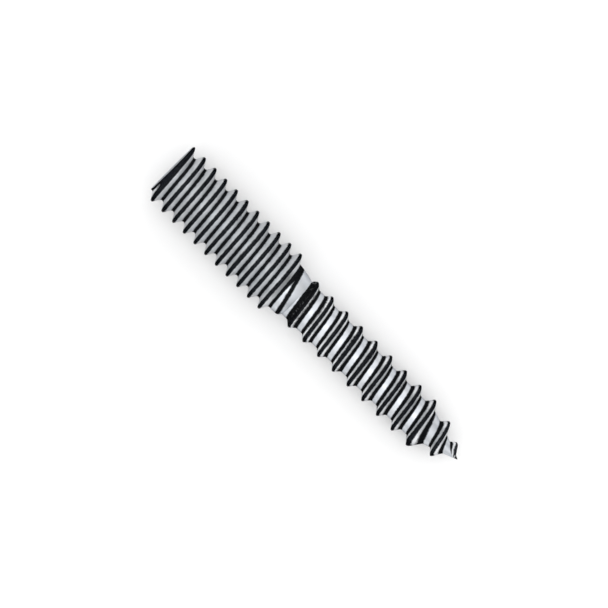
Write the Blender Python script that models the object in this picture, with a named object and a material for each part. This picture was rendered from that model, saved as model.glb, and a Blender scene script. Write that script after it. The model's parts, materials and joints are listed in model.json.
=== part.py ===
"""Hanger bolt: one steel rod with a machine thread on one end, a wood thread and a gimlet point on the
other, and a plain shoulder between them. Metres, +Z up.

The surface is lofted round the axis. An outline of the bolt is worked out for every few degrees, with an
edge wherever a helical ridge has its foot or its crest, and each outline is joined to the next. The bolt
then lies on its side as it comes to rest, point towards +X.
"""

from math import atan2, pi, radians, tan

import bmesh
import bpy
import numpy as np
from mathutils import Matrix, Vector
from mathutils.geometry import convex_hull_2d

for thing in list(bpy.data.objects):
    bpy.data.objects.remove(thing)

MM = 0.001
TURN = 2 * pi

# Places are measured along the axis from the flat end, and angles from +Y towards +Z.
LENGTH = 28.575 * MM

# Machine thread: 10-24 (0.190 inch, 24 turns to the inch), right-hand, with the standard 60 degree groove
MACHINE_DIAMETER = 4.826 * MM
MACHINE_PITCH = 1.0583 * MM
MACHINE_THREAD_LENGTH = 11.25 * MM
MACHINE_FIRST_CREST = 0.07 * MM
GROOVE_ANGLE = radians(60)
END_CHAMFER = 0.08 * MM
MACHINE_RUN_OUT = radians(100)

# Neck and shoulder: the plain length, whose upper edge leans as the run-out of the thread does
NECK_DIAMETER = 3.60 * MM
NECK_LENGTH = 0.64 * MM
NECK_LEAN = 0.46 * MM
NECK_LEAN_ANGLE = radians(54)
SHOULDER_LENGTH = 0.76 * MM
SHOULDER_ROUNDNESS = 1.4

# Wood thread: right-hand, coarse, thin ridges round a root that tapers towards the point
WOOD_DIAMETER = 3.72 * MM
WOOD_PITCH = 1.458 * MM
WOOD_ROOT_DIAMETER_AT_SHOULDER = 3.06 * MM
WOOD_ROOT_DIAMETER_AT_POINT = 2.60 * MM
WOOD_RIDGE_BASE = 0.84 * MM
WOOD_CREST_FLAT = 0.08 * MM
WOOD_FIRST_CREST = 0.24 * MM
WOOD_RUN_IN = radians(80)

# Gimlet point: the root runs down to nothing, and the ridge follows it with a rounder outline
POINT_LENGTH = 3.60 * MM
POINT_ROUNDNESS = 0.9
CREST_TAPER_LENGTH = 3.27 * MM
CREST_TAPER_ROUNDNESS = 0.6
POINT_LEAD = 0.33 * MM
POINT_LEAD_TURNS = 0.6
POINT_RUN_OUT = radians(150)
TIP_LENGTH = 0.10 * MM

# Facets: outlines round the bolt, with none straight underneath, so that it lies on the flat between two
OUTLINES = 48
HALF_FACET = TURN / OUTLINES / 2
SHOULDER_STEPS = 4
LEAST_STEP = 0.012 * MM
LEAST_RIDGE_WIDTH = 0.15
MERGE_DISTANCE = LEAST_STEP / 100

SHARP_EDGE_ANGLE = radians(30)

ZINC_COLOUR = (0.66, 0.68, 0.71, 1.0)
ZINC_ROUGHNESS = 0.3

# Worked out from the sizes above
MACHINE_RADIUS = MACHINE_DIAMETER / 2
MACHINE_CREST_FLAT = MACHINE_PITCH / 8
MACHINE_ROOT_FLAT = MACHINE_PITCH / 4
MACHINE_RIDGE_BASE = MACHINE_PITCH - MACHINE_ROOT_FLAT
MACHINE_THREAD_DEPTH = (MACHINE_RIDGE_BASE - MACHINE_CREST_FLAT) / 2 / tan(GROOVE_ANGLE / 2)
MACHINE_ROOT_RADIUS = MACHINE_RADIUS - MACHINE_THREAD_DEPTH
MACHINE_LAST_TURN = (MACHINE_THREAD_LENGTH - MACHINE_FIRST_CREST) / MACHINE_PITCH
SHOULDER_START = MACHINE_THREAD_LENGTH + NECK_LENGTH
SHOULDER_END = SHOULDER_START + SHOULDER_LENGTH
NECK_HIGH_SIDE = TURN * MACHINE_LAST_TURN + MACHINE_RUN_OUT + NECK_LEAN_ANGLE
WOOD_START = SHOULDER_END + WOOD_FIRST_CREST
POINT_START = LENGTH - POINT_LENGTH
TIP_START = LENGTH - TIP_LENGTH

ANGLES = np.linspace(HALF_FACET, HALF_FACET + TURN, OUTLINES + 1)[:, None]


def smooth(share):
    """A ramp from 0 to 1 that starts and ends level."""
    share = np.clip(share, 0, 1)
    return share * share * (3 - 2 * share)


def neck_end(angles):
    """Where the neck gives way to the shoulder: a leaning line round the bolt."""
    return SHOULDER_START - NECK_LEAN * np.cos(angles - NECK_HIGH_SIDE)


def body_radius(angles, places):
    """Radius of the rod under the threads: a cylinder, a neck, a rounded shoulder, a taper and a point."""
    ends = (0, MACHINE_THREAD_LENGTH, MACHINE_THREAD_LENGTH + NECK_LENGTH / 2)
    neck = np.interp(places, ends, (MACHINE_ROOT_RADIUS, MACHINE_ROOT_RADIUS, NECK_DIAMETER / 2))
    down = (places - neck_end(angles)) / (SHOULDER_END - neck_end(angles))
    drop = NECK_DIAMETER / 2 - WOOD_ROOT_DIAMETER_AT_SHOULDER / 2
    shoulder = neck - drop * np.clip(down, 0, 1) ** SHOULDER_ROUNDNESS
    along = (places - SHOULDER_END) / (POINT_START - SHOULDER_END)
    taper = (WOOD_ROOT_DIAMETER_AT_SHOULDER - WOOD_ROOT_DIAMETER_AT_POINT) / 2 * np.clip(along, 0, 1)
    left = np.clip((LENGTH - places) / POINT_LENGTH, 0, 1)
    return (shoulder - taper) * left**POINT_ROUNDNESS


def wood_crest_radius(places):
    """Outer radius of the wood thread, which closes in on the point."""
    left = np.clip((LENGTH - places) / CREST_TAPER_LENGTH, 0, 1)
    return WOOD_DIAMETER / 2 * left**CREST_TAPER_ROUNDNESS


def ridge(turns, strength, centres, crest_flat, base):
    """Edges of a helical ridge in every outline: foot, crest, crest, foot, once for each turn.

    Strength is 1 on the full ridge and 0 where it has run out. The ridge sinks and narrows together, so
    that its flanks keep their slope. The result is the places of the edges and their share of the height.
    """
    crest = crest_flat / 2
    foot = crest + np.maximum(strength, LEAST_RIDGE_WIDTH) * (base - crest_flat) / 2
    places = np.stack([centres - foot, centres - crest, centres + crest, centres + foot], axis=-1)
    heights = np.stack([0 * strength, strength, strength, 0 * strength], axis=-1)
    return places.reshape(len(turns), -1), heights.reshape(len(turns), -1)


def machine_ridge():
    """The machine thread's ridge, full from the flat end to its run-out."""
    turns = np.arange(-1, (SHOULDER_END - MACHINE_FIRST_CREST) / MACHINE_PITCH + 1) + ANGLES / TURN
    strength = 1 - smooth((turns - MACHINE_LAST_TURN) * TURN / MACHINE_RUN_OUT)
    centres = MACHINE_FIRST_CREST + MACHINE_PITCH * turns
    return ridge(turns, strength, centres, MACHINE_CREST_FLAT, MACHINE_RIDGE_BASE)


def wood_ridge():
    """The wood thread's ridge, from its run-in at the shoulder to its end on the point."""
    last_turn = (TIP_START - WOOD_START - POINT_LEAD) / WOOD_PITCH
    turns = np.arange(-1, last_turn + 1) + ANGLES / TURN
    point_turn = (POINT_START - WOOD_START) / WOOD_PITCH
    run_in = smooth(1 + turns * TURN / WOOD_RUN_IN)
    run_out = smooth((last_turn - turns) * TURN / POINT_RUN_OUT)
    lead = POINT_LEAD * smooth((turns - point_turn) / POINT_LEAD_TURNS)
    centres = WOOD_START + WOOD_PITCH * turns + lead
    return ridge(turns, run_in * run_out, centres, WOOD_CREST_FLAT, WOOD_RIDGE_BASE)


def between(places, low, high):
    """Places kept between two limits. Those outside, or closer than the least step, gather on the limit."""
    low, high = np.broadcast_to(low, places.shape), np.broadcast_to(high, places.shape)
    places = np.where(places < low + LEAST_STEP, low, places)
    return np.where(places > high - LEAST_STEP, high, places)


def height_at(places, edges):
    """Share of a ridge's height at any place of each outline, read straight between the ridge's edges."""
    rows = zip(places, *edges)
    return np.array([np.interp(row, at, height, left=0, right=0) for row, at, height in rows])


def bolt_surface():
    """Every outline of the bolt, as points in rows: one row for each angle, from the flat end to the tip."""
    machine, wood = machine_ridge(), wood_ridge()
    neck = neck_end(ANGLES)
    steps = np.linspace(0, 1, SHOULDER_STEPS, endpoint=False)
    places = np.hstack([
        np.zeros_like(ANGLES),
        between(machine[0], END_CHAMFER, neck),
        neck + steps * (SHOULDER_END - neck),
        between(wood[0], SHOULDER_END, TIP_START),
        np.full_like(ANGLES, LENGTH),
    ])
    body = body_radius(ANGLES, places)
    radius = body + height_at(places, machine) * (MACHINE_RADIUS - body)
    radius += height_at(places, wood) * (wood_crest_radius(places) - body)
    radius = np.minimum(radius, MACHINE_RADIUS - END_CHAMFER + places)
    return np.stack([places, radius * np.cos(ANGLES), radius * np.sin(ANGLES)], axis=-1)


def lofted(surface):
    """A closed mesh through the outlines: neighbours are joined, edges that gathered are merged, ends filled."""
    mesh = bmesh.new()
    outlines = [[mesh.verts.new(point) for point in outline] for outline in surface.tolist()]
    for one, other in zip(outlines, outlines[1:]):
        for near, far in zip(range(len(one)), range(1, len(one))):
            mesh.faces.new((one[near], one[far], other[far], other[near]))
    bmesh.ops.remove_doubles(mesh, verts=mesh.verts, dist=MERGE_DISTANCE)
    bmesh.ops.holes_fill(mesh, edges=[edge for edge in mesh.edges if edge.is_boundary])
    bmesh.ops.recalc_face_normals(mesh, faces=mesh.faces)
    return mesh


def centre_of_gravity(mesh):
    """Mean place of the solid, from the tetrahedra between its facets and the origin."""
    corners = np.array([[loop.vert.co for loop in facet] for facet in mesh.calc_loop_triangles()])
    volumes = np.linalg.det(corners)
    return (corners.sum(axis=1) / 4 * volumes[:, None]).sum(axis=0) / volumes.sum()


def resting_turn(mesh):
    """Turn about Y that lays the bolt on the two crests beneath it, one on each side of its weight."""
    weight = centre_of_gravity(mesh)[0] / MM
    side_view = [Vector((vertex.co.x, vertex.co.z)) / MM for vertex in mesh.verts]
    hull = [side_view[index] for index in convex_hull_2d(side_view)]
    for one, other in zip(hull, hull[1:] + hull[:1]):
        if one.x <= weight < other.x:
            return atan2(other.y - one.y, other.x - one.x)


def lay_down(bolt, turn):
    """Turns the bolt to its rest and puts the middle of its underside on the origin."""
    bolt.rotation_euler.y = turn
    corners = [Matrix.Rotation(turn, 3, "Y") @ vertex.co for vertex in bolt.data.vertices]
    low, high = np.min(corners, axis=0), np.max(corners, axis=0)
    bolt.location = (-(low[0] + high[0]) / 2, -(low[1] + high[1]) / 2, -low[2])


def zinc_plated_steel():
    """Bright zinc plate: a pale, faintly blue metal with a soft gloss."""
    material = bpy.data.materials.new("zinc_plated_steel")
    material.use_nodes = True
    shader = material.node_tree.nodes["Principled BSDF"]
    shader.inputs["Base Color"].default_value = ZINC_COLOUR
    shader.inputs["Metallic"].default_value = 1
    shader.inputs["Roughness"].default_value = ZINC_ROUGHNESS
    return material


def hanger_bolt():
    """The bolt, its one solid, lying at rest."""
    surface = lofted(bolt_surface())
    turn = resting_turn(surface)
    mesh = bpy.data.meshes.new("hanger_bolt")
    surface.to_mesh(mesh)
    surface.free()
    mesh.shade_smooth()
    mesh.set_sharp_from_angle(angle=SHARP_EDGE_ANGLE)
    mesh.materials.append(zinc_plated_steel())
    bolt = bpy.data.objects.new("hanger_bolt", mesh)
    bpy.context.scene.collection.objects.link(bolt)
    lay_down(bolt, turn)


hanger_bolt()
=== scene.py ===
"""The hanger bolt dressed for a picture: rolled threads, shoulder and gimlet point in bright zinc plate.

It lies on a pale floor as it comes to rest. The camera looks straight down on its side, with the flat
machine end at the upper left and the gimlet point at the lower right.
"""

import json
from math import pi, radians, tau

import bmesh
import bpy
import numpy as np
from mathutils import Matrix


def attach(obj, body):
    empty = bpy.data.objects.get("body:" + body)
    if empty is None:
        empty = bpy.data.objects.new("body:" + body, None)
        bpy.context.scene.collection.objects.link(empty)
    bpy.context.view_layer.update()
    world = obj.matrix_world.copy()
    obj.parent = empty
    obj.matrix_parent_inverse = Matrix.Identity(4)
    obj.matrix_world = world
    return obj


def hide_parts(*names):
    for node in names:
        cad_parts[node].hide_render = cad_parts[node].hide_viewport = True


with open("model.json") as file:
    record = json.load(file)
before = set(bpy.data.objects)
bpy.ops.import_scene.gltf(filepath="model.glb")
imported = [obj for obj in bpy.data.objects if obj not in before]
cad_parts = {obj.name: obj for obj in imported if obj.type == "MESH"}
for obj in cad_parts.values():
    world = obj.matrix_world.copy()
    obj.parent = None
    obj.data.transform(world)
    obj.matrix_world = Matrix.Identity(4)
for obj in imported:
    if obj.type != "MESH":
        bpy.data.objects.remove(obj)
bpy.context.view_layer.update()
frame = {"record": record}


# The hanger bolt. It is one length of low-carbon steel wire. Both threads are rolled into it between flat
# dies, which squeeze the steel out of the grooves and up into the ridges, and the point is pinched to a
# gimlet. The whole bolt is then plated with bright zinc in a barrel.

MM = 0.001
LENGTH = 28.575 * MM

# The rod that is left between the ridges: a cylinder, a neck, a shoulder, an even taper and a point
MACHINE_THREAD_LENGTH = 11.25 * MM
MACHINE_ROOT_RADIUS = 1.840 * MM
END_CHAMFER = 0.08 * MM
NECK_RADIUS = 1.80 * MM
NECK_LENGTH = 0.64 * MM
NECK_LEAN = 0.46 * MM
SHOULDER_LENGTH = 0.76 * MM
SHOULDER_ROUNDNESS = 1.4
SHOULDER_START = MACHINE_THREAD_LENGTH + NECK_LENGTH
SHOULDER_END = SHOULDER_START + SHOULDER_LENGTH
WOOD_ROOT_RADIUS_AT_SHOULDER = 1.53 * MM
WOOD_ROOT_RADIUS_AT_POINT = 1.30 * MM
POINT_LENGTH = 3.60 * MM
POINT_ROUNDNESS = 0.9
POINT_START = LENGTH - POINT_LENGTH
TIP_START = LENGTH - 0.10 * MM

# Machine thread: 10-24, right-hand, with the standard 60 degree groove, cut off square at the end
MACHINE_RADIUS = 2.413 * MM
MACHINE_PITCH = 1.0583 * MM
MACHINE_FIRST_CREST = 0.07 * MM
MACHINE_RUN_OUT = radians(100)
MACHINE_LAST_TURN = (MACHINE_THREAD_LENGTH - MACHINE_FIRST_CREST) / MACHINE_PITCH
MACHINE_RIDGE = dict(half_crest=MACHINE_PITCH / 16, flank=MACHINE_PITCH * 5 / 16, ease=(0.12, 0.30))
NECK_HIGH_SIDE = tau * MACHINE_LAST_TURN + MACHINE_RUN_OUT + radians(54)

# Wood thread: right-hand, coarse, with thin ridges that rise over the lead-in at the foot of the shoulder,
# follow the point down and die out on it
WOOD_RADIUS = 1.86 * MM
WOOD_PITCH = 1.458 * MM
WOOD_FIRST_CREST = SHOULDER_END + 0.24 * MM
WOOD_RUN_IN = radians(80)
WOOD_LEAD_IN = 0.2 * MM
WOOD_RIDGE = dict(half_crest=0.04 * MM, flank=0.38 * MM, ease=(0.09, 0.22))
CREST_TAPER_LENGTH = 3.27 * MM
CREST_TAPER_ROUNDNESS = 0.6
POINT_LEAD = 0.33 * MM
POINT_LEAD_LENGTH = 0.6 * WOOD_PITCH + POINT_LEAD
POINT_RUN_OUT = radians(150)
WOOD_LAST_TURN = (TIP_START - WOOD_FIRST_CREST - POINT_LEAD) / WOOD_PITCH

# Both ridges: how narrow one gets where it dies out, and the fine seam that rolling leaves on its crest. An
# ease is how far the crest's corner and the foot are rounded, as shares of the flank.
LEAST_WIDTH = 0.15
SEAM_HALF_WIDTH = 0.022 * MM
SEAM_DEPTH = 0.03 * MM

# How fine the surface is: steps round the bolt, over a rounded corner and down the shoulder, the least step
# along it, the table for the lead on the point, the rings at both ends as shares of the way, and the angle
# from which an edge between two faces stays crisp
ANGLES = 152
CORNER_STEPS = 4
SHOULDER_STEPS = 14
LEAST_STEP = 0.004 * MM
LEAD_STEPS = 4000
PAST_TIP = 1.2
END_RINGS = np.array([0.0, 0.4, 0.8, 0.95])
TIP_RINGS = np.array([0.4, 0.7, 0.9, 1.0])
SHARP_EDGE = radians(34)


def eased(share):
    """A share from 0 to 1, made level at both ends: three times its square less twice its cube."""
    share = np.clip(share, 0, 1)
    return share * share * (3 - 2 * share)


def rounded(share, ease):
    """A share held at 0 or more, with a parabola in place of the corner, as far as the ease each way."""
    return np.where(share < ease, np.clip(share + ease, 0, None) ** 2 / (4 * ease), share)


def neck_end(angle):
    """The line where the neck gives way: a ring that leans by the cosine of the angle from its high side."""
    return SHOULDER_START - NECK_LEAN * np.cos(angle - NECK_HIGH_SIDE)


def rod_radius(angle, along):
    """A cylinder that narrows evenly to the neck, a drop that goes as a power of the way down from the
    leaning line, an even taper, and all of it times a power of the length left on the point."""
    places = (0, MACHINE_THREAD_LENGTH, MACHINE_THREAD_LENGTH + NECK_LENGTH / 2)
    neck = np.interp(along, places, (MACHINE_ROOT_RADIUS, MACHINE_ROOT_RADIUS, NECK_RADIUS))
    down = np.clip((along - neck_end(angle)) / (SHOULDER_END - neck_end(angle)), 0, 1)
    taper = np.clip((along - SHOULDER_END) / (POINT_START - SHOULDER_END), 0, 1)
    left = np.clip((LENGTH - along) / POINT_LENGTH, 0, 1)
    radius = neck - (NECK_RADIUS - WOOD_ROOT_RADIUS_AT_SHOULDER) * down**SHOULDER_ROUNDNESS
    radius -= (WOOD_ROOT_RADIUS_AT_SHOULDER - WOOD_ROOT_RADIUS_AT_POINT) * taper
    return radius * left**POINT_ROUNDNESS


def machine_strength(turned):
    """1 on the full machine thread, easing to 0 through its run-out, for the turns made on its crest."""
    return 1 - eased((turned - MACHINE_LAST_TURN) * tau / MACHINE_RUN_OUT)


def wood_strength(turned):
    """0 before the wood thread's run-in, 1 on the full thread, easing to 0 again on the point."""
    run_in = eased(1 + turned * tau / WOOD_RUN_IN)
    return run_in * eased((WOOD_LAST_TURN - turned) * tau / POINT_RUN_OUT)


def lead_gained(along):
    """How far the wood thread runs ahead of its even pitch: nothing on the rod, all of it on the point."""
    return POINT_LEAD * eased((along - POINT_START) / POINT_LEAD_LENGTH)


def wood_crest_radius(along):
    """Outside of the wood thread: even on the rod, and on the point a power of the length left."""
    return WOOD_RADIUS * np.clip((LENGTH - along) / CREST_TAPER_LENGTH, 0, 1) ** CREST_TAPER_ROUNDNESS


def rolled_ridge(angle, along, first_crest, pitch, strength_at, half_crest, flank, ease):
    """Share of the full height at each place, how far it is from the crest line and from the ridge's foot,
    and the ridge's strength. The turns made up to a place, less the angle's share of a turn, are a whole
    number on the crest line. The height is 1 on the crest and falls straight to 0 at the foot, rounded at
    both corners, and the ridge sinks and narrows together as its strength falls."""
    turns = (along - first_crest) / pitch - angle / tau
    from_crest = np.abs(turns - np.round(turns)) * pitch
    strength = strength_at(np.round(turns) + angle / tau)
    width = flank * np.maximum(strength, LEAST_WIDTH)
    rise = rounded((half_crest + width - from_crest) / width, ease[1])
    height = strength * (1 - rounded(1 - rise, ease[0]))
    return height, from_crest, from_crest - half_crest - width, strength


def wound_edges(angle, first_crest, pitch, last, strength_at, half_crest, flank, ease):
    """Places of a ridge's edges at every angle: for each turn the crest line, plus and less the reach of
    the seam, of the rounded crest corner, of the rounded foot and of the bottom of the groove. They wind
    round the bolt with it."""
    turned = np.arange(-2, np.ceil((last - first_crest) / pitch) + 2) + angle / tau
    width = flank * np.maximum(strength_at(turned), LEAST_WIDTH)[:, :, None]
    corner = np.linspace(-1, 1, CORNER_STEPS)
    seam = SEAM_HALF_WIDTH * np.array([0.0, 0.5, 1.0]) + 0 * width
    reach = half_crest + width * np.concatenate([ease[0] * corner, 1 + ease[1] * corner])
    groove = half_crest + width * (1 + ease[1])
    groove = groove + (pitch / 2 - groove) * np.array([0.45, 1.0])
    reach = np.sort(np.concatenate([seam, reach, groove], axis=-1), axis=-1)
    reach = np.concatenate([-reach[:, :, -2:0:-1], reach], axis=-1)
    crests = first_crest + pitch * turned
    return (crests[:, :, None] + reach).reshape(len(angle), -1)


def kept_between(places, low, high):
    """Places between two limits. What lies outside them, or within the least step, gathers on the limit."""
    places = np.where(places < low + LEAST_STEP, low, places)
    return np.where(places > high - LEAST_STEP, high, places)


# The surface is a grid of angle by place along the axis, from the middle of the flat end to the tip. Its
# rows wind round the bolt with the ridges, so that every crest and foot has edges of its own. The wood
# ridge's lead on the point is looked up in a table of places, which goes on past the tip.
angle = np.linspace(-pi / 2, 3 * pi / 2, ANGLES + 1)[:, None]
machine = (MACHINE_FIRST_CREST, MACHINE_PITCH)
wood = (WOOD_FIRST_CREST, WOOD_PITCH)
machine_edges = wound_edges(angle, *machine, SHOULDER_END, machine_strength, **MACHINE_RIDGE)
wood_edges = wound_edges(angle, *wood, LENGTH, wood_strength, **WOOD_RIDGE)
places = np.linspace(0, PAST_TIP * LENGTH, LEAD_STEPS)
wood_edges = np.interp(wood_edges, places - lead_gained(places), places)
neck = neck_end(angle)
along = np.hstack([
    0 * angle,
    kept_between(machine_edges, END_CHAMFER, neck),
    neck + np.linspace(0, 1, SHOULDER_STEPS, endpoint=False) * (SHOULDER_END - neck),
    kept_between(wood_edges, SHOULDER_END, TIP_START),
    TIP_START + (LENGTH - TIP_START) * TIP_RINGS + 0 * angle,
])

# The ridges stand on the rod, each with its seam cut into the crest, and the flat end has its chamfer. The
# wood ridge's seam fades out where the point has narrowed to half.
rod = rod_radius(angle, along)
machine_height, from_machine_crest, _, machine_full = rolled_ridge(
    angle, along, *machine, machine_strength, **MACHINE_RIDGE)
wood_height, from_wood_crest, from_wood_foot, wood_full = rolled_ridge(
    angle, along - lead_gained(along), *wood, wood_strength, **WOOD_RIDGE)
machine_side = along < neck
machine_height, machine_full = machine_height * machine_side, machine_full * machine_side
wood_side = eased((along - SHOULDER_END) / WOOD_LEAD_IN + 1)
wood_height, wood_full = wood_height * wood_side, wood_full * wood_side
radius = rod + machine_height * (MACHINE_RADIUS - rod) + wood_height * (wood_crest_radius(along) - rod)
machine_seam = np.clip(1 - from_machine_crest / SEAM_HALF_WIDTH, 0, 1) * machine_full
wood_seam = np.clip(1 - from_wood_crest / SEAM_HALF_WIDTH, 0, 1) * wood_full
wood_seam *= np.clip(2 * wood_crest_radius(along) / WOOD_RADIUS - 1, 0, 1)
radius -= SEAM_DEPTH * (machine_seam + wood_seam)
radius = np.minimum(radius, MACHINE_RADIUS - END_CHAMFER + along)

# The wood thread's first turn makes a pocket with the shoulder, and shade is painted in it: a dark band that
# runs along the shoulder's side of the crest line, 0.2 mm from it, and narrows until nothing is left of it by
# the end of the turn. A least distance keeps this painted shade a little fainter than the others.
POCKET_SHADE_TO_CREST = 0.2 * MM
POCKET_SHADE_HALF_WIDTH = 0.09 * MM
POCKET_SHADE_NARROWS_BY = 0.36 * MM
POCKET_SHADE_TURNS_FULL = 0.35
POCKET_SHADE_TURNS_NARROWING = 0.5
POCKET_SHADE_LEAST = 0.1 * MM
first_turn = WOOD_FIRST_CREST + WOOD_PITCH * angle / tau
narrowed = POCKET_SHADE_NARROWS_BY * eased((angle / tau - POCKET_SHADE_TURNS_FULL) / POCKET_SHADE_TURNS_NARROWING)
from_pocket_shade = np.abs(along - first_turn + POCKET_SHADE_TO_CREST) - (POCKET_SHADE_HALF_WIDTH - narrowed)

# Distances in mm for the finish and for painted shade. The plating is worn near a crest and at both ends,
# where bolts knock together in the barrel. Shade is painted dark along the bottom of the machine groove, at
# both feet of a wood ridge, in the pocket, and where the neck meets the shoulder. Where a ridge dies out, its
# distances grow until they no longer count. The machine groove's painted shade lasts for three quarters of a
# turn longer than its ridge. Distances from the ends and the neck count for less than they are, which makes
# their lines wider.
DYING = 0.2 * MM
GROOVE_SHADE_TURNS_LONGER = 0.75
FLAT_END_COUNTS = 0.9
TIP_COUNTS = 0.55
NECK_SHADE_COUNTS = 0.8
machine_dying = DYING * (1 - machine_full)
wood_dying = DYING * (1 - wood_full)
# The machine groove's painted shade is carried on past the end of its ridge.
groove_shade_turned = (along - MACHINE_FIRST_CREST) / MACHINE_PITCH - GROOVE_SHADE_TURNS_LONGER
groove_shade_dying = DYING * (1 - machine_strength(groove_shade_turned) * machine_side)
from_crest = np.stack([
    from_machine_crest + machine_dying,
    from_wood_crest + wood_dying,
    FLAT_END_COUNTS * along,
    TIP_COUNTS * (LENGTH - along),
]).min(axis=0) / MM
# Distance to the painted shade: the bottom of the machine groove, the wood ridge's feet, the pocket and the
# neck.
from_painted_shade = np.stack([
    np.abs(MACHINE_PITCH / 2 - from_machine_crest) + groove_shade_dying,
    np.abs(from_wood_foot) + wood_dying,
    np.maximum(from_pocket_shade, POCKET_SHADE_LEAST) + wood_dying,
    NECK_SHADE_COUNTS * np.abs(along - neck),
]).min(axis=0) / MM

# The dies burnish the ridges, fully so from a quarter of their height up. The same share also paints the
# ridges paler than the rod, as painted light that lifts the shade falling between them.
BURNISHED_AND_LIGHT_FROM = 0.25
burnished_and_painted_light = np.clip((machine_height + wood_height) / BURNISHED_AND_LIGHT_FROM, 0, 1)

# The middle of the flat end closes the grid, and the bolt is laid where the frame's end face is, with its
# axis turned straight away from that face.
end = frame["record"]["mounts"][0]
end_place, axis = np.array(end["pos_m"]), -np.array(end["axis"])
across = np.array([0.0, 1.0, 0.0])
upward = np.cross(axis, across)
face = np.zeros((ANGLES + 1, len(END_RINGS)))
along = np.hstack([face, along])
radius = np.hstack([radius[:, :1] * END_RINGS, radius])
y, z = radius * np.cos(angle), radius * np.sin(angle)
points = end_place + along[..., None] * axis + y[..., None] * across + z[..., None] * upward
finish = {
    "mm_from_crest": np.hstack([face + MACHINE_RADIUS / MM * (1 - END_RINGS), from_crest]),
    "mm_from_painted_shade": np.hstack([face + 1, from_painted_shade]),
    "burnished_and_painted_light": np.hstack([face, burnished_and_painted_light]),
    "sheared": np.hstack([face + 1, 0 * rod]),
}

rows = points.shape[1]
corner = np.arange(ANGLES)[:, None] * rows + np.arange(rows - 1)
quads = np.stack([corner, corner + 1, corner + rows + 1, corner + rows], axis=-1).reshape(-1, 4)
steel = bpy.data.meshes.new("rolled_hanger_bolt")
steel.from_pydata(points.reshape(-1, 3), [], quads)
for name, values in finish.items():
    values = values.ravel().astype(np.float32)
    steel.attributes.new(name, "FLOAT", "POINT").data.foreach_set("value", values)

weld = bmesh.new()
weld.from_mesh(steel)
bmesh.ops.remove_doubles(weld, verts=weld.verts, dist=LEAST_STEP / 100)
bmesh.ops.recalc_face_normals(weld, faces=weld.faces)
weld.to_mesh(steel)
weld.free()
steel.shade_smooth()
steel.set_sharp_from_angle(angle=SHARP_EDGE)
bolt = bpy.data.objects.new("rolled_hanger_bolt", steel)
bpy.context.scene.collection.objects.link(bolt)


def linear(hex_colour):
    """An sRGB hex colour turned to linear light: each channel plus 0.055, over 1.055, to the power 2.4."""
    srgb = np.array([int(hex_colour[place:place + 2], 16) for place in (1, 3, 5)]) / 255
    light = np.where(srgb <= 0.04045, srgb / 12.92, ((srgb + 0.055) / 1.055) ** 2.4)
    return (*light.tolist(), 1.0)


def node(tree, kind, inputs, **settings):
    """Adds a node with its settings. Each input takes a value, or the output of another node as a link."""
    made = tree.nodes.new("ShaderNode" + kind)
    for name, value in settings.items():
        setattr(made, name, value)
    for socket, value in inputs.items():
        if isinstance(value, bpy.types.NodeSocket):
            tree.links.new(value, made.inputs[socket])
        else:
            made.inputs[socket].default_value = value
    return made


# Bright zinc plate, barrel-plated and passivated clear: a pale, faintly blue metal with a soft gloss, which
# darkens where it turns away from the eye. It is cloudy over a millimetre or so, and streaked round the bolt
# where the dies ran. The ridges are paler, partly for the burnish and partly as painted light that lifts the
# shade between them. It is dark where the crests have knocked through to the steel, and shade is painted
# dark in the grooves and creases. The shear left lines across the cut end.
zinc = bpy.data.materials.new("bright_zinc_plate")
zinc.use_nodes = True
tree = zinc.node_tree
shader = tree.nodes["Principled BSDF"]
in_mm = node(tree, "Mapping", {
    "Vector": node(tree, "TexCoord", {}).outputs["Object"],
    "Scale": (1000, 1000, 1000),
}).outputs["Vector"]

# Streaks 0.11 mm apart and 1.4 mm long, clouds of 1.1 mm, and grain of 0.14 mm. Real streaks and grain are
# finer, and these are as coarse as they need to be to show.
streaked = node(tree, "Mapping", {"Vector": in_mm, "Scale": (9, 0.7, 0.7)}).outputs["Vector"]
streaks = node(tree, "TexNoise", {"Vector": streaked, "Scale": 1.0, "Detail": 2, "Roughness": 0.5})
clouds = node(tree, "TexNoise", {"Vector": in_mm, "Scale": 0.9, "Detail": 3, "Roughness": 0.55})
grain = node(tree, "TexNoise", {"Vector": in_mm, "Scale": 7.0, "Detail": 4, "Roughness": 0.6})
# The ridges' share makes their colour paler than the rod's: partly the burnish, partly painted light that
# lifts the shade between them.
rolled = node(tree, "Attribute", {}, attribute_name="burnished_and_painted_light").outputs["Fac"]
bright = node(tree, "Mix", {
    "Factor": rolled, "A": linear("#D9DCE0"), "B": linear("#F4F5F7"),
}, data_type="RGBA")
dull = node(tree, "Mix", {
    "Factor": rolled, "A": linear("#CBCFD5"), "B": linear("#EFF1F3"),
}, data_type="RGBA")
plate = node(tree, "Mix", {
    "Factor": node(tree, "MapRange", {
        "Value": clouds.outputs["Fac"], "From Min": 0.35, "From Max": 0.65,
    }).outputs["Result"],
    "A": bright.outputs["Result"], "B": dull.outputs["Result"],
}, data_type="RGBA")

# The edge of a worn line or of the painted shade wanders by up to 0.04 mm each way, over 0.2 mm.
RAGGED_BY = 0.08
wander = node(tree, "Math", {
    0: node(tree, "TexNoise", {"Vector": in_mm, "Scale": 5.0, "Detail": 3}).outputs["Fac"], 1: 0.5,
}, operation="SUBTRACT").outputs[0]


def close_to(attribute, reach, soft):
    """1 within a reach in mm of what an attribute measures from, 0 beyond it, ragged as the noise goes."""
    distance = node(tree, "Attribute", {}, attribute_name=attribute).outputs["Fac"]
    moved = node(tree, "Math", {0: wander, 1: RAGGED_BY, 2: distance}, operation="MULTIPLY_ADD")
    return node(tree, "MapRange", {
        "Value": moved.outputs[0],
        "From Min": reach - soft, "From Max": reach + soft, "To Min": 1.0, "To Max": 0.0,
    }, interpolation_type="SMOOTHSTEP").outputs["Result"]


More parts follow.
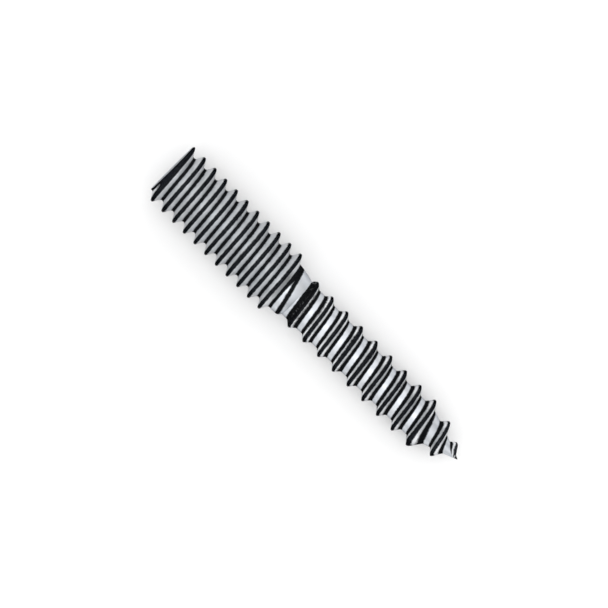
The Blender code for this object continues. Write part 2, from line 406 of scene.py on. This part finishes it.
# Wear and painted shade are both a good quarter of a millimetre wide, wider than real wear, so that they
# show.
worn_amount = close_to("mm_from_crest", 0.145, 0.03)
# The painted shade in the grooves and creases.
painted_shade_amount = close_to("mm_from_painted_shade", 0.13, 0.04)

# The shear's lines run up and down the cut end, 0.14 mm apart and nearly 3 mm long, coarser than real ones.
across_cut = node(tree, "Mapping", {"Vector": in_mm, "Scale": (1, 7, 0.35)})
cut_noise = node(tree, "TexNoise", {"Vector": across_cut.outputs["Vector"], "Scale": 1.0, "Detail": 3})
cut_line = node(tree, "MapRange", {
    "Value": cut_noise.outputs["Fac"], "From Min": 0.5, "From Max": 0.68, "To Min": 0.0, "To Max": 0.75,
}).outputs["Result"]
cut_mark = node(tree, "Math", {
    0: cut_line, 1: node(tree, "Attribute", {}, attribute_name="sheared").outputs["Fac"],
}, operation="MULTIPLY").outputs[0]

# The colours lie over one another: shear marks on the plate, then bare steel, then painted shade, both
# patchy.
with_cut = node(tree, "Mix", {
    "Factor": cut_mark, "A": plate.outputs["Result"], "B": linear("#8E9297"),
}, data_type="RGBA")
patchy = node(tree, "MapRange", {
    "Value": grain.outputs["Fac"], "From Min": 0.38, "From Max": 0.62,
}).outputs["Result"]
steel_grey = node(tree, "Mix", {
    "Factor": patchy, "A": linear("#1C1D20"), "B": linear("#313438"),
}, data_type="RGBA")
# Near-black for the painted shade.
painted_shade_grey = node(tree, "Mix", {
    "Factor": patchy, "A": linear("#141517"), "B": linear("#202123"),
}, data_type="RGBA")
with_worn = node(tree, "Mix", {
    "Factor": worn_amount, "A": with_cut.outputs["Result"], "B": steel_grey.outputs["Result"],
}, data_type="RGBA")
with_painted_shade = node(tree, "Mix", {
    "Factor": painted_shade_amount, "A": with_worn.outputs["Result"], "B": painted_shade_grey.outputs["Result"],
}, data_type="RGBA")
tree.links.new(with_painted_shade.outputs["Result"], shader.inputs["Base Color"])

# The gloss varies with the streaks and is duller under the painted shade. The surface is rough by a few
# thousandths of a millimetre, and the shear marks are cut deeper.
SURFACE_DEPTH = 0.0025 * MM
gloss = node(tree, "MapRange", {
    "Value": streaks.outputs["Fac"], "From Min": 0.3, "From Max": 0.7, "To Min": 0.36, "To Max": 0.46,
}).outputs["Result"]
dulled = node(tree, "Math", {0: painted_shade_amount, 1: 0.25, 2: gloss}, operation="MULTIPLY_ADD").outputs[0]
tree.links.new(dulled, shader.inputs["Roughness"])
shader.inputs["Metallic"].default_value = 1.0
shader.inputs["Specular Tint"].default_value = linear("#89898B")

rolled_height = node(tree, "Math", {
    0: streaks.outputs["Fac"], 1: 0.6, 2: grain.outputs["Fac"],
}, operation="MULTIPLY_ADD").outputs[0]
height = node(tree, "Math", {0: cut_mark, 1: -3.0, 2: rolled_height}, operation="MULTIPLY_ADD")
bump = node(tree, "Bump", {"Height": height.outputs[0], "Strength": 1.0, "Distance": SURFACE_DEPTH})
tree.links.new(bump.outputs["Normal"], shader.inputs["Normal"])
steel.materials.append(zinc)

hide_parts("hanger_bolt")
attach(bolt, "root")


# The floor: a sheet of matt white board, which the bolt lies on. It shows white, with the bolt's soft
# shadow on it.

FLOOR_HALF_SIZE = 1.5
sheet = bpy.data.meshes.new("floor")
across_floor = FLOOR_HALF_SIZE * np.array([(-1, -1, 0), (1, -1, 0), (1, 1, 0), (-1, 1, 0)])
sheet.from_pydata(across_floor, [], [(0, 1, 2, 3)])
floor = bpy.data.objects.new("floor", sheet)
bpy.context.scene.collection.objects.link(floor)

# Matt white board: it scatters light evenly. What it lacks to white is added for the eye and for the metal
# that mirrors it.
WHITE_LACKS = 0.1
board = bpy.data.materials.new("matt_white_board")
board.use_nodes = True
tree = board.node_tree
tree.nodes.remove(tree.nodes["Principled BSDF"])
ray = node(tree, "LightPath", {}).outputs
eye_or_gloss = node(tree, "Math", {0: ray["Is Camera Ray"], 1: ray["Is Glossy Ray"]}, operation="MAXIMUM")
seen = node(tree, "Math", {
    0: eye_or_gloss.outputs[0], 1: ray["Is Transmission Ray"],
}, operation="MAXIMUM").outputs[0]
lift = node(tree, "Math", {0: seen, 1: WHITE_LACKS}, operation="MULTIPLY").outputs[0]
glow = node(tree, "Emission", {"Color": linear("#FFFFFF"), "Strength": lift})
scatter = node(tree, "BsdfDiffuse", {"Color": linear("#F2F2F2")})
both = node(tree, "AddShader", {0: scatter.outputs[0], 1: glow.outputs[0]})
tree.links.new(both.outputs[0], tree.nodes["Material Output"].inputs["Surface"])
sheet.materials.append(board)


# The light: a pale room, a broad softbox overhead, one on each side for the flanks of the threads, and a
# faint one beyond each end that shines along the bolt into the grooves. The room is dim along the floor and
# even from 30 degrees up, so that the bolt's edges mirror darker walls than its top.

DIM_WALLS = 0.35
PALE_CEILING = 0.92
room = bpy.data.worlds.new("pale_room")
room.use_nodes = True
tree = room.node_tree
looking = node(tree, "TexCoord", {}).outputs["Generated"]
how_high = node(tree, "SeparateXYZ", {0: looking}).outputs["Z"]
brightness = node(tree, "MapRange", {
    "Value": how_high, "From Min": 0.0, "From Max": 0.5, "To Min": DIM_WALLS, "To Max": PALE_CEILING,
}).outputs["Result"]
tree.nodes["Background"].inputs["Color"].default_value = linear("#FFFFFF")
tree.links.new(brightness, tree.nodes["Background"].inputs["Strength"])
bpy.context.scene.world = room


def softbox(name, place, turn, size, brightness):
    """An even light panel, as bright per unit of area as asked: its power is pi times brightness and area."""
    light = bpy.data.lights.new(name, "AREA")
    light.shape = "RECTANGLE"
    light.size, light.size_y = size
    light.energy = pi * brightness * size[0] * size[1]
    panel = bpy.data.objects.new(name, light)
    panel.location = place
    panel.rotation_euler = turn
    bpy.context.scene.collection.objects.link(panel)


softbox("overhead_softbox", (0, 0, 0.6), (0, 0, 0), (0.9, 0.34), 1.1)
softbox("near_side_softbox", (0, -0.47, 0.37), (radians(52), 0, 0), (0.26, 0.55), 0.75)
softbox("far_side_softbox", (0, 0.47, 0.37), (radians(-52), 0, 0), (0.26, 0.55), 0.75)
softbox("machine_end_softbox", (-0.55, 0, 0.22), (0, radians(-68), 0), (0.36, 0.60), 0.15)
softbox("point_end_softbox", (0.55, 0, 0.22), (0, radians(68), 0), (0.36, 0.60), 0.15)


# The camera: straight above, and so far off behind an 800 mm lens that it shows next to no perspective, as
# in a side view drawn to scale. The bolt's axis runs down to the right at 45 degrees in the picture's frame.

FRAME_PIXELS = 608
PIXEL = MM / 14.287
TURN_IN_VIEW = radians(45.09)
AIMED_AT = end_place + axis * 177 * PIXEL
RIGHT_OF_CENTRE = -9.5 * PIXEL
ABOVE_CENTRE = 8.0 * PIXEL
view_right = np.array([np.cos(TURN_IN_VIEW), np.sin(TURN_IN_VIEW)])
view_up = np.array([-np.sin(TURN_IN_VIEW), np.cos(TURN_IN_VIEW)])
lens = bpy.data.cameras.new("camera")
lens.sensor_width = 36
lens.lens = 800
distance = FRAME_PIXELS * PIXEL * lens.lens / lens.sensor_width
lens.clip_start, lens.clip_end = 0.01, 10
camera = bpy.data.objects.new("camera", lens)
aimed_beside = AIMED_AT[:2] - RIGHT_OF_CENTRE * view_right - ABOVE_CENTRE * view_up
camera.location = (*aimed_beside, AIMED_AT[2] + distance)
camera.rotation_euler = (0, 0, TURN_IN_VIEW)
bpy.context.scene.collection.objects.link(camera)
bpy.context.scene.camera = camera
bpy.context.scene.view_settings.view_transform = "Standard"
